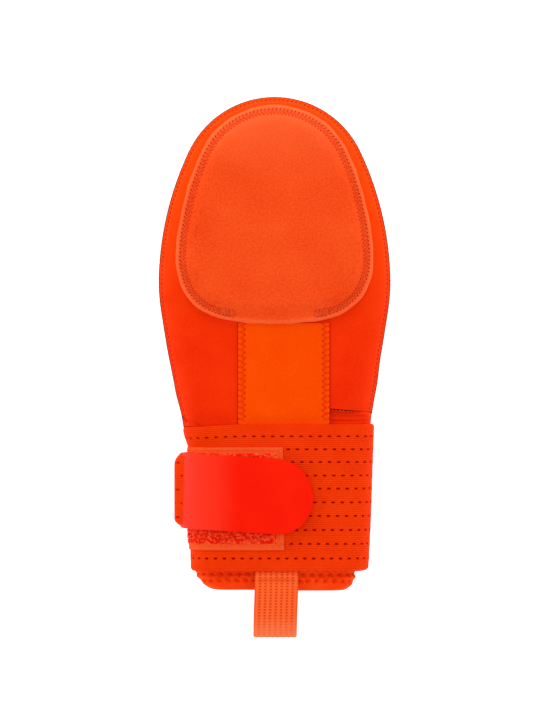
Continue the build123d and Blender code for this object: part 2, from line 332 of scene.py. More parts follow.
def near_whole(x):
    """How far x is past the nearest whole number, from -0.5 to 0.5."""
    return np.mod(x + 0.5, 1) - 0.5


def merge_close(distance):
    """In edit mode, joins the vertices of the active piece that are this close in mm."""
    if bpy.context.object.mode != "EDIT":
        bpy.ops.object.mode_set(mode="EDIT")
    bpy.ops.mesh.select_all(action="SELECT")
    bpy.ops.mesh.remove_doubles(threshold=distance * MM)


def cloth(name, columns, rows, place, size=(1.0, 1.0), merge=0.02, second=None):
    """A grid of cloth shaped by place(u, v), which gives points in mm for u and v from 0 to 1.

    size is the cloth's real width and length in mm, or a function of u and v that gives both distances.
    The UV map is scaled to it, in metres. second(u, v) picks the faces of the piece's second material.
    """
    bpy.ops.object.select_all(action="DESELECT")
    bpy.ops.mesh.primitive_grid_add(x_subdivisions=columns, y_subdivisions=rows, size=2, calc_uvs=True)
    piece = bpy.context.object
    piece.name = name
    piece.data.name = name
    count = len(piece.data.vertices)
    flat = np.zeros(count * 3)
    piece.data.vertices.foreach_get("co", flat)
    flat = flat.reshape(-1, 3)
    points = np.stack(place((flat[:, 0] + 1) / 2, (flat[:, 1] + 1) / 2), axis=1)
    piece.data.vertices.foreach_set("co", (points * MM).ravel())
    layer = piece.data.uv_layers[0].data
    uv = np.zeros(len(layer) * 2)
    layer.foreach_get("uv", uv)
    uv = uv.reshape(-1, 2)
    laid = np.stack(size(uv[:, 0], uv[:, 1]), axis=1) if callable(size) else uv * np.array(size)
    layer.foreach_set("uv", (laid * MM).ravel())
    if second:
        centres = uv.reshape(-1, 4, 2).mean(axis=1)
        chosen = second(centres[:, 0], centres[:, 1])
        piece.data.polygons.foreach_set("material_index", chosen.astype(np.int32))
    if merge:
        merge_close(merge)
        bpy.ops.object.mode_set(mode="OBJECT")
    piece.data.update()
    return piece


def face_out(piece, probe=None, way=(0, 0, 1)):
    """Turns the faces of a piece outwards. On an open sheet, the face numbered probe looks the given way."""
    only(piece)
    bpy.ops.object.mode_set(mode="EDIT")
    bpy.ops.mesh.select_all(action="SELECT")
    bpy.ops.mesh.normals_make_consistent(inside=False)
    bpy.ops.object.mode_set(mode="OBJECT")
    if probe is not None and piece.data.polygons[probe].normal.dot(Vector(way)) < 0:
        piece.data.flip_normals()


def thicken(piece, thickness, offset=-1.0, rim=0):
    """Gives a sheet its thickness in mm, with the rim in another of its materials."""
    only(piece)
    wall = piece.modifiers.new("wall", "SOLIDIFY")
    wall.thickness = thickness * MM
    wall.offset = offset
    wall.material_offset_rim = rim
    bpy.ops.object.modifier_apply(modifier=wall.name)


def soften_edges(piece, width, segments=2, angle=50, material=-1):
    """Rounds the sharp edges of a piece by width in mm, in another of its materials if one is given."""
    only(piece)
    soft = piece.modifiers.new("soft", "BEVEL")
    soft.width = width * MM
    soft.segments = segments
    soft.limit_method = "ANGLE"
    soft.angle_limit = math.radians(angle)
    soft.material = material
    bpy.ops.object.modifier_apply(modifier=soft.name)


def done(piece, body, slot, *materials, stands_for=(), smooth=45):
    """Materials, smooth shading, body and the CAD nodes that the piece stands for. slot is not used."""
    for index, material in enumerate(materials):
        if index < len(piece.data.materials):
            piece.data.materials[index] = material
        else:
            piece.data.materials.append(material)
    only(piece)
    bpy.ops.object.shade_smooth_by_angle(angle=math.radians(smooth))
    if body:
        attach(piece, body)
    if stands_for:
        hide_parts(*stands_for)
    return piece


def threads(name, runs, thickness, sides=1):
    """Round threads, one along each run of points in mm, as one mesh."""
    curve = bpy.data.curves.new(name, "CURVE")
    curve.dimensions = "3D"
    curve.bevel_depth = thickness / 2 * MM
    curve.bevel_resolution = sides
    curve.use_fill_caps = True
    for run in runs:
        line = curve.splines.new("POLY")
        line.points.add(len(run) - 1)
        points = np.ones((len(run), 4))
        points[:, :3] = np.array(run) * MM
        line.points.foreach_set("co", points.ravel())
    piece = bpy.data.objects.new(name, curve)
    bpy.context.scene.collection.objects.link(piece)
    only(piece)
    bpy.ops.object.convert(target="MESH")
    return bpy.context.object


def holes(name, places, outward, radius):
    """Small round needle holes, as eight-sided spots facing outward at the given places in mm."""
    places, outward = np.array(places, float), np.array(outward, float)
    side = np.cross(outward, (0.31, 0.87, 0.39))
    side /= np.linalg.norm(side, axis=1)[:, None]
    other = np.cross(outward, side)
    turns = np.arange(8) * math.tau / 8
    ring = places[:, None] + radius * (
        side[:, None] * np.cos(turns)[None, :, None] + other[:, None] * np.sin(turns)[None, :, None]
    )
    faces = [list(range(8 * k, 8 * k + 8)) for k in range(len(places))]
    mesh = bpy.data.meshes.new(name)
    mesh.from_pydata((ring.reshape(-1, 3) * MM).tolist(), [], faces)
    piece = bpy.data.objects.new(name, mesh)
    bpy.context.scene.collection.objects.link(piece)
    return piece


def joined(first, second, first_material, second_material):
    """Two meshes as one piece with two materials."""
    first.data.materials.append(first_material)
    second.data.materials.append(second_material)
    bpy.ops.object.select_all(action="DESELECT")
    second.select_set(True)
    first.select_set(True)
    bpy.context.view_layer.objects.active = first
    bpy.ops.object.join()
    return first


def arch(start, end, lift, dip=0.35, points=5):
    """A stitch's run from hole to hole: out of one, over the cloth and into the next."""
    start, end, lift = (np.array(p, float) for p in (start, end, lift))
    share = np.linspace(0, 1, points)[:, None]
    rise = np.sin(share * math.pi) ** 0.6
    return between(start, end, share) + lift * (rise * (1 + dip) - dip)


def stitched(name, runs, thickness, material, spots=(), outward=(), radius=0.3, body="mitt"):
    """Stitches as one piece, with the needle holes at spots in painted shade if there are any."""
    piece = threads(name, runs, thickness)
    looks = [material]
    if len(spots):
        piece = joined(piece, holes(name + "_holes", spots, outward, radius), material, shade)
        looks.append(shade)
    return done(piece, body, "thread", *looks, stands_for=[name], smooth=80)


def stitch_shares(count, start, stop):
    """For each of count stitches in a row, four shares of the row's length that it passes."""
    return [np.linspace((k + start) / count, (k + stop) / count, 4) for k in range(count)]


# ---------------------------------------------------------------- outlines read from the frame

def plan_line(node, height, middle_y, from_degree, to_degree, count=900):
    """Evenly spaced points in plan along a node's outside, with inward normals and distances along it."""
    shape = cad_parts[node]
    degrees = np.linspace(from_degree, to_degree, 721)
    reach = []
    for a in np.radians(degrees):
        ray = Vector((math.cos(a), math.sin(a), 0))
        start = Vector((0, middle_y, height)) * MM + ray
        place = shape.ray_cast(start, -ray)[1]
        reach.append(math.hypot(place.x / MM, place.y / MM - middle_y))
    reach = np.array(reach)
    closed = abs(to_degree - from_degree) > 359
    pad = 6
    kernel = np.hanning(2 * pad + 3)[1:-1]
    kernel /= kernel.sum()
    if closed:
        ends = np.r_[reach[-pad - 1:-1], reach, reach[1:pad + 1]]
    else:
        ends = np.pad(reach, pad, mode="reflect", reflect_type="odd")
    reach = np.convolve(ends, kernel, "valid")
    x = reach * np.cos(np.radians(degrees))
    y = middle_y + reach * np.sin(np.radians(degrees))
    run = np.r_[0, np.cumsum(np.hypot(np.diff(x), np.diff(y)))]
    s = np.linspace(0, run[-1], count)
    x, y = np.interp(s, run, x), np.interp(s, run, y)
    tx, ty = np.gradient(x, s), np.gradient(y, s)
    if closed:
        tx[0] = tx[-1] = (tx[1] + tx[-2]) / 2
        ty[0] = ty[-1] = (ty[1] + ty[-2]) / 2
    size = np.hypot(tx, ty)
    return {"s": s, "x": x, "y": y, "nx": -ty / size, "ny": tx / size, "length": run[-1]}


def along(line, s):
    """x, y and inward normal at distances s along a plan line."""
    return [np.interp(s, line["s"], line[k]) for k in ("x", "y", "nx", "ny")]


def ring(left, right, bottom, top, radius):
    """A rounded rectangle round the wrist, by distance from the middle of its top, towards +X."""
    quarter = np.linspace(0, math.pi / 2, 17)
    x, z, nx, nz = [0.0], [top], [0.0], [1.0]
    corners = [(right - radius, top - radius), (right - radius, bottom + radius)]
    corners += [(left + radius, bottom + radius), (left + radius, top - radius)]
    for turn, (cx, cz) in enumerate(corners):
        a = math.pi / 2 * (1 - turn) - quarter
        x += list(cx + radius * np.cos(a))
        z += list(cz + radius * np.sin(a))
        nx += list(np.cos(a))
        nz += list(np.sin(a))
    x, z, nx, nz = np.array(x + [0.0]), np.array(z + [top]), np.array(nx + [0.0]), np.array(nz + [1.0])
    s = np.r_[0, np.cumsum(np.hypot(np.diff(x), np.diff(z)))]
    return {"s": s, "x": x, "z": z, "nx": nx, "nz": nz, "length": s[-1], "left": left, "right": right}


def on_ring(shape, s, out, left=None, right=None):
    """x and z at distances s round a ring, moved outwards, with its width fitted to left and right."""
    s = np.mod(s, shape["length"])
    x, z, nx, nz = [np.interp(s, shape["s"], shape[k]) for k in ("x", "z", "nx", "nz")]
    if left is not None:
        x = left + (x - shape["left"]) * (right - left) / (shape["right"] - shape["left"])
    return x + nx * out, z + nz * out


# ---------------------------------------------------------------- body panels

body_line = plan_line("edge_overlock", mid_z, 45.0, -54.3, 234.3)
stitch_inset = 1.7
stitch_pitch = 2.35
overlock_count = round(body_line["length"] / stitch_pitch)
overlock_step = body_line["length"] / overlock_count
flange = 3.0  # width of the flat sewn edge
spine_top = 85.0  # where the middle line that the panel closes on ends
panel_insets = np.r_[0, 0.5, np.linspace(0.95, flange, 7), flange + 13 * np.linspace(0, 1, 15)[1:] ** 1.5]
spine_rows = 12
lip_height = 1.8  # height of the slanted cut edge above the seam
slope_width = 15.5  # from the cut edge to the flat of the hand
panel_rows = len(panel_insets) - 1 + spine_rows
panel_columns = 800


def panel_height(inset):
    """Height of a panel's outside above the seam, from its slanted cut edge to the flat of the hand."""
    lip = np.interp(inset, [0, 0.5], [0.2, lip_height])
    climb = np.clip((inset - 0.5) / slope_width, 0, 1)
    return lip + (front_z - mid_z - lip_height) * (1 - (1 - climb) ** 2.2) ** 0.9


def panel_end_at(x):
    """Where the panels end: well under the band at the left, and at a sewn edge above it at the right."""
    share = smooth_step((x + 12) / 38)
    return (panel_end - 8) * (1 - share) + (panel_end + 2.2 - 0.10 * np.clip(x - 29, 0, 30)) * share


def settle(x, y):
    """Lets the wrist end lie as it does: a little to the right, and drawn in under the band at the left."""
    x = x * (1 - 0.014 * bell((y - 20) / 14)) + 1.1 * smooth_step((10 - y) / 40)
    x = x + 0.7 * np.clip(x / 50, 0, 1) * bell((y + 8) / 10)
    x = x - np.clip(-x / 50, 0, 1) * bell((y + 23) / 8)
    reach = np.clip((10 - y) / (10 - panel_end), 0, 1)
    y = y + (panel_end_at(x) - panel_end) * reach ** 1.5
    x = x + 2.2 * smooth_step((-12 - y) / 18) * np.clip(-x / 50, 0, 1)
    return x, y


def panel(front):
    """Shapes one neoprene panel as a dish, from its cut edge to the middle of the hand."""
    side = 1 if front else -1

    def place(u, v):
        s = u * body_line["length"]
        x, y, nx, ny = along(body_line, s)
        ny = ny * smooth_step((y + 25) / 60)
        size = np.hypot(nx, ny)
        row = v * panel_rows
        inset = np.interp(row, np.arange(len(panel_insets)), panel_insets)
        px, py = x + nx / size * inset, y + ny / size * inset
        rest = np.clip((row - len(panel_insets) + 1) / spine_rows, 0, 1)
        spine = np.clip(py, panel_end, spine_top)
        px, py = px * (1 - rest), py + (spine - py) * rest
        height = panel_height(inset) + 0.25 * np.sin(math.pi * rest / 2)
        past = near_whole(s / overlock_step) * overlock_step
        off = inset - stitch_inset
        height = height - 0.4 * bell(off / 0.5, past / 0.5) - 0.3 * bell(off / 0.7)
        px, py = settle(px, py)
        cut = (u < 0.4 / panel_columns) | (u > 1 - 0.4 / panel_columns)
        py = py - 0.3 * cut
        height = np.where(cut, np.maximum(height - 1.4, 0.2), height)
        crease = np.abs((py + 26.6) * 0.88 + (px + 46.9) * 0.48)
        height = height - 1.6 * front * bell(crease / 0.6) * (px < -39) * (px > -47.5)
        return px, py, mid_z + side * np.clip(height, 0.15, front_z - mid_z + 0.3)

    def cut_edge(u, v):
        return (v * panel_rows < 1) | (u < 1 / panel_columns) | (u > 1 - 1 / panel_columns)

    name = "front_shell" if front else "palm_shell"
    piece = cloth(name, panel_columns, panel_rows, place, (body_line["length"], 70), second=cut_edge)
    face_out(piece, len(piece.data.polygons) * 3 // 4, (0, 0, side))
    thicken(piece, neoprene - 1.2, rim=1)
    return done(piece, "mitt", "neoprene", neoprene_cloth, core, stands_for=[name], smooth=60)


panel(True)
panel(False)


def overlock():
    """Overcast stitches over the two cut edges: out of a needle hole, round the edge and in again."""
    runs, spots, facing = [], [], []
    s = np.arange(overlock_count) * overlock_step
    x, y, nx, ny = along(body_line, s)
    for k in range(overlock_count):
        edge = np.array([x[k], y[k]])
        inward, forward = np.array([nx[k], ny[k]]), np.array([-ny[k], nx[k]])
        course = [
            (stitch_inset, 0.0, -0.3), (stitch_inset - 0.3, 0.05, 0.14), (1.2, 0.2, 0.16), (0.5, 0.35, 0.16),
            (-0.05, 0.45, 0.3), (-0.1, 0.55, -0.2),
        ]
        run = []
        for side in (1, -1):
            half = []
            for inset, ahead, above in course:
                ahead = ahead if side > 0 else 1.0 - ahead
                px, py = settle(*(edge + inward * inset + forward * ahead))
                half.append((px, py, mid_z + side * (panel_height(max(inset, 0.0)) + above)))
            run += half if side > 0 else half[::-1]
            px, py = settle(*(edge + inward * (stitch_inset + 0.1) + forward * (half[0][2] < 0)))
            spots.append((px, py, mid_z + side * (panel_height(stitch_inset) - 0.1)))
            facing.append((-inward[0] * 0.6, -inward[1] * 0.6, side * 0.8))
        runs.append(run)
    stitched("edge_overlock", runs, 0.32, bright_thread_painted_light, spots, facing, 0.5)


overlock()

# ---------------------------------------------------------------- pads

pad_rise = span("front_pad_cover")[1][2] - front_z
rim_rise = 3.0
zigzag_outer, zigzag_inner = 2.3, 5.0
zigzag_pitch = 2.1
rim_share, crown_share = 0.12, 0.75  # parts of the grid's rows that end at the rim and at the crown
mouth = 21.5  # half the width of the pocket's unsewn mouth


def pad(node, base, side, middle_y, fill):
    """A pad's brushed cover: a rolled rim, a sewn channel with zigzag stitches, and a crowned middle."""
    line = plan_line(node, base + side * 1.2, middle_y, -90, 270)
    length = line["length"]
    steps = 2 * round(length / zigzag_pitch)
    step = length / steps

    def sewn(s):
        """1 where the pad is stitched down and 0 across the mouth of its pocket."""
        gap = np.minimum(s, length - s)
        return smooth_step((gap - mouth + 2) / 4)

    def sag(x, y, inset):
        """How far the panel under the pad's sewn edge lies below the flat of the hand."""
        gap = np.full(np.shape(x), 99.0)
        for k in range(0, len(body_line["s"]), 6):
            gap = np.minimum(gap, np.hypot(x - body_line["x"][k], y - body_line["y"][k]))
        drop = front_z - mid_z - panel_height(gap)
        return drop * (1 - smooth_step((inset - 4) / 4))

    def top_at(s, inset):
        """Height of the cover's top above the panel."""
        held = sewn(s)
        crown = smooth_step((inset - 3.8) / 7) ** 0.8
        height = rim_rise + (pad_rise - rim_rise - 0.1) * crown
        height = height - 0.6 * held * bell((inset - 3.65) / 1.5)
        height = height + 0.25 * (1 - held) * bell((inset - 1.5) / 2.5)
        for where, parity in ((zigzag_outer, 0), (zigzag_inner, 1)):
            past = near_whole(s / step / 2 + parity / 2) * 2 * step
            height = height - 0.5 * held * bell((inset - where) / 0.5, past / 0.45)
        return height

    def on_pad(s, inset, above):
        """A point above the cover, at a distance round it and in from its edge."""
        x, y, nx, ny = along(line, s)
        x, y = x + nx * inset, y + ny * inset
        return x, y, base + side * (top_at(s, inset) + above - sag(x, y, inset))

    def place(u, v):
        s = u * length
        x, y, nx, ny = along(line, s)
        roll = np.clip(v / rim_share, 0, 1)
        turn = (roll - 0.35) * math.pi / 1.3
        edge_inset = 1.45 - 1.45 * np.cos(np.clip(turn, -1.0, math.pi / 2))
        flat_inset = np.interp(v, [rim_share, 0.62, crown_share, 1], [1.45, 9, 16, 16])
        inset = np.where(v < rim_share, edge_inset, flat_inset)
        top = top_at(s, inset)
        rim = rim_rise / 2 * (1 + np.sin(np.clip(turn, -1.2, math.pi / 2)))
        height = np.where(v < rim_share, np.clip(rim, 0.02, rim_rise), top)
        wave = 0.18 * np.sin(s * math.tau / 31) + 0.12 * np.sin(s * math.tau / 13.7 + 1)
        inset = inset + wave * np.exp(-inset / 2) * 0.8
        px, py = x + nx * inset, y + ny * inset
        rest = np.clip((v - crown_share) / (1 - crown_share), 0, 1)
        px, py = px * (1 - rest), middle_y + (py - middle_y) * (1 - rest)
        return px, py, base + side * (height - sag(px, py, inset))

    piece = cloth(node, steps * 3, 46, place, (length, 60))
    if side < 0:
        piece.data.flip_normals()
    face_out(piece, len(piece.data.polygons) - 5, (0, 0, side))
    done(piece, "mitt", "brushed_fabric", nap, stands_for=[node], smooth=60)

    runs, spots, facing = [], [], []
    k = np.arange(steps)
    s = k * step
    inset = np.where(k % 2 == 0, zigzag_outer, zigzag_inner)
    points = np.stack(on_pad(s, inset, 0.06), axis=1)
    for a in range(steps):
        b = (a + 1) % steps
        if min(s[a], length - s[a]) < mouth or min(s[b], length - s[b]) < mouth:
            continue
        runs.append(arch(points[a], points[b], (0, 0, side * 0.5), 0.3))
        # Each stitch gets its needle hole and two more dark spots along its leg: painted shade of the hole and a
        # painted shadow of the thread
        for share in (-0.08, 0.14, 0.32):
            spots.append(on_pad(s[a] + share * step, inset[a] + share * (inset[b] - inset[a]), 0.22))
            facing.append((0, 0, side))
    for end in (mouth + 0.5, length - mouth - 0.5):
        sense = 1 if end < length / 2 else -1
        for tack in range(9):
            s0 = end + sense * tack * 0.75
            tack_ends = []
            for inset_at, ahead in ((1.9, 0.0), (5.6, sense * 0.4)):
                ax, ay, anx, any_ = along(line, s0 + ahead)
                top = base + side * (top_at(s0, inset_at) + 0.15)
                tack_ends.append((ax + anx * inset_at, ay + any_ * inset_at, top))
            runs.append(arch(*tack_ends, (0, 0, side * 0.45), 0.2))
            if tack % 3 == 0:
                spots += tack_ends
                facing += [(0, 0, side)] * 2
    stitched(node.replace("cover", "stitching"), runs, 0.34, pale_thread_painted_light, spots, facing, 0.36)


pad("front_pad_cover", front_z, 1, 70.0, 0.45)
pad("palm_pad_cover", palm_z, -1, 55.0, 0.45)

for insert, insert_material in (("pad_plate", plate_plastic), ("pad_foam", core)):
    for face in ("front_", "palm_"):
        insert_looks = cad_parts[face + insert].data.materials
        insert_looks.clear()
        insert_looks.append(insert_material)

# ---------------------------------------------------------------- centre strip

strip_pitch = 3.0


def centre_strip():
    """The sueded strip, with scalloped edges where the zigzag stitches draw it in, and a painted shadow along
    its cut edges.
    """
    left, right = strip_low[0], strip_high[0]
    low_y, high_y = strip_low[1], strip_high[1] + 1.2

    def place(u, v):
        y = between(low_y, high_y, v)
        centre = (left + right) / 2
        reach = np.interp(u, [0, 0.06, 0.94, 1], [-0.5, -0.44, 0.44, 0.5]) * 2
        scallop = 0.28 * np.abs(np.sin(math.pi * y / strip_pitch)) - 0.1
        half = (right - left) / 2 + scallop * np.abs(reach) ** 12
        x = centre + reach * half
        edge = half - np.abs(x - centre)
        z = front_z + 1.15 * smooth_step(edge + 0.25)
        for inset, shift in ((0.8, 0.0), (3.9, 0.5)):
            past = near_whole(y / strip_pitch + shift) * strip_pitch
            z = z - 0.45 * bell((edge - inset) / 0.55, past / 0.5)
        return x, y, z - 0.22 * bell((edge - 2.3) / 1.5)

    # The outermost columns on each side take painted shade for the shadowed cut edge
    piece = cloth(
        "centre_strip", 220, 210, place, (right - left, high_y - low_y),
        second=lambda u, v: np.minimum(u, 1 - u) < 1.8 / 220,
    )
    face_out(piece, 2000)
    thicken(piece, 0.9)
    done(piece, "mitt", "suede", suede, shade, stands_for=["centre_strip"], smooth=60)

    runs, spots, facing = [], [], []
    count = int((high_y - band_high[1] - 1) / strip_pitch)
    for edge_x, sense in ((left, 1), (right, -1)):
        for k in range(count):
            y = (math.ceil(band_high[1] / strip_pitch) + k) * strip_pitch
            z = front_z + 1.0
            outer = np.array((edge_x + sense * 0.5, y, z - 0.3))
            inner = np.array((edge_x + sense * 3.7, y + strip_pitch / 2, z - 0.1))
            after = outer + (0, strip_pitch, 0)
            for start, stop, bow in ((outer, inner, 0.42), (inner, after, -0.42)):
                leg = arch(start, stop, (0, 0, 0.42), 0.3, 7)
                share = np.linspace(0, 1, 7)
                leg[:, 1] -= np.sin(share * math.pi) * bow
                leg[:, 0] += np.sin(share * math.pi) * sense * 0.45
                runs.append(leg)
            spots += [outer + (-sense * 0.15, 0, 0.12), inner + (sense * 0.25, 0, 0.05)]
            facing += [(0, 0, 1)] * 2
    stitched("strip_stitching", runs, 0.36, thread, spots, facing)


centre_strip()


def panel_seam():
    """Overcast lower edge of the front panel on each side of the strip, and of the palm panel."""
    runs = []
    for side, start, stop in ((1, strip_high[0] + 0.6, 48.5), (-1, 12.0, 47.0)):
        for x in np.arange(start, stop, 2.0):
            drop = front_z - mid_z - panel_height(max(50.5 - x, 0.0) + 0.4)
            for lean in (0.0, 1.0):
                end = panel_end_at(x + lean)
                z = (front_z if side > 0 else palm_z) - side * (drop - 0.1)
                course = [(0.2, 1.1, -0.2), (0.4 + lean * 0.5, 0.7, 0.12)]
                course += [(0.5 + lean * 0.8, 0.1, 0.05), (0.5 + lean, -0.15, -0.8)]
                runs.append([(x + ahead, end + back, z + side * above) for ahead, back, above in course])
    stitched("panel_seam", runs, 0.3, thread)


panel_seam()

# ---------------------------------------------------------------- cuff

cuff_half = 41.4
cuff_ring = ring(-cuff_half, cuff_half, palm_z, front_z, 11.0)
cuff_middle = (palm_z + front_z) / 2
cuff_start = panel_end + 6.0


def cuff_width(y, side):
    """How far the cuff reaches to the left or right at y: wide in the panel, drawn in at the hem."""
    wide = 50.4 if side > 0 else 45.5
    points = [-120, -116, -113, -109.5, -106, -60, -31, -24.4, -20]
    if side > 0:
        return np.interp(y, points, [33.5, 37.4, 39.8, 41.0, 41.4, 43.0, 49.8, wide, 44.0])
    return np.interp(y, points, [29.5, 33.4, 36.6, 39.2, 41.0, 43.0, 44.6, wide, 43.0])


def cuff_point(s, y):
    """A point of the cuff's tube at a distance round it."""
    x, z = on_ring(cuff_ring, s, 0)
    left, right = cuff_width(y, -1), cuff_width(y, 1)
    return -left + (x + cuff_half) * (left + right) / (2 * cuff_half), z


def cuff_sleeve():
    """The neoprene tube of the cuff, with faint cross ribs where it shows past the panel."""
    def place(u, v):
        y = between(cuff_start, hem_high[1] + 1, v)
        out = -1.3 * (1 - smooth_step((-30 - y) / 6)) + 0.35 * np.sin(y * math.tau / 2.3) * (y > -32)
        x, z = cuff_point(u * cuff_ring["length"], y)
        return x, y, cuff_middle + (z - cuff_middle) * (1 + out / 13.0)

    piece = cloth("cuff_sleeve", 240, 120, place, (cuff_ring["length"], 95))
    face_out(piece)
    thicken(piece, neoprene - 0.4)
    done(piece, "mitt", "neoprene", neoprene_cloth, stands_for=["cuff_sleeve"], smooth=60)


cuff_sleeve()
hem_pitch = 4.9
hem_steps = 2 * round(cuff_ring["length"] / hem_pitch)
hem_step = cuff_ring["length"] / hem_steps
hem_rows = (-107.6, -110.8)
hem_roll = 3.2  # radius of the rolled edge
hem_fold = hem_low[1] + hem_roll


def hem_point(s, y, out):
    """A point on the outside of the hem, moved outwards."""
    x, z = cuff_point(s, y)
    steep = (z - cuff_middle) * 2.2
    away = np.hypot(x, steep) + 1e-6
    y = y + 0.4 * np.clip((2 - x) / 8, 0, 1)
    return x + out * x / away, y, z + out * steep / away


def cuff_hem():
    """The rolled edge of the cuff: folded neoprene, puffed between the zigzag's needle points."""
    def place(u, v):
        s = u * cuff_ring["length"]
        turn = np.clip((v - 0.5) / 0.28, 0, 1) * math.pi
        y_out = np.interp(v, [0, 0.5], [hem_high[1] + 0.4, hem_fold])
        y = np.where(v < 0.5, y_out, hem_fold - hem_roll * np.sin(turn))
        out = np.where(v < 0.5, 0.5, -2.0 + 2.5 * np.cos(turn))
        y = np.where(v > 0.78, hem_fold + (v - 0.78) / 0.22 * 7, y)
        out = np.where(v > 0.78, -4.5, out)
        puff = 0.7 * bell((y - sum(hem_rows) / 2) / 1.3) * (v < 0.5)
        groove = 0.0
        for where, parity in zip(hem_rows, (0, 1)):
            past = near_whole(s / hem_step / 2 + parity / 2) * 2 * hem_step
            groove = groove + 1.6 * bell((y - where) / 1.1, past / 1.2) + 0.3 * bell((y - where) / 0.7)
        return hem_point(s, y, out + puff - groove * (v < 0.55))

    piece = cloth("cuff_hem", 420, 64, place, (cuff_ring["length"], 26))
    face_out(piece)
    thicken(piece, 0.8)
    done(piece, "mitt", "neoprene", hem_cloth_painted_light, stands_for=["cuff_hem"], smooth=70)

    runs, spots, facing = [], [], []
    for k in range(hem_steps):
        ends = [np.array(hem_point(j * hem_step, hem_rows[j % 2], -0.25)) for j in (k, k + 1)]
        middle = (ends[0] + ends[1]) / 2
        lift = np.array([middle[0] * 0.02, 0, middle[2] - mid_z])
        lift = lift / np.linalg.norm(lift) * 0.95
        runs.append(arch(ends[0], ends[1], lift, 0.1, 6))
        spots.append(ends[0] + lift * 0.1)
        facing.append(lift)
    stitched("hem_stitching", runs, 0.7, thread, spots, facing, 0.38)


cuff_hem()

# ---------------------------------------------------------------- wrist band

band_ring = ring(band_low[0], band_high[0], band_low[2], band_high[2], 13.0)
hole_rows = 10
hole_row_pitch = 7.0
dash_pitch = 4.9
hole_columns = round(band_ring["length"] / dash_pitch)
hole_pitch = band_ring["length"] / hole_columns


def band_sides(y):
    """Left and right reach of the band at y: splayed at its top left corner and drawn in towards the hem."""
    left_y = [-105.7, -104.7, -94, -41.5, -32.5, -30.8, -29.6]
    left_x = [-42.6, -43.5, -43.8, -44.8, -47.5, -47.5, -46.9]
    right_y = [-105.7, -105.1, -104, -80, -50, -30.5, -29.6]
    right_x = [46.2, 47.8, 48.8, 50.0, 51.0, 51.7, 51.2]
    return np.interp(y, left_y, left_x), np.interp(y, right_y, right_x)


def band_point(s, y, out):
    """A point on the outside of the band, moved outwards."""
    left, right = band_sides(y)
    x, z = on_ring(band_ring, s, out, left, right)
    return x, y, z


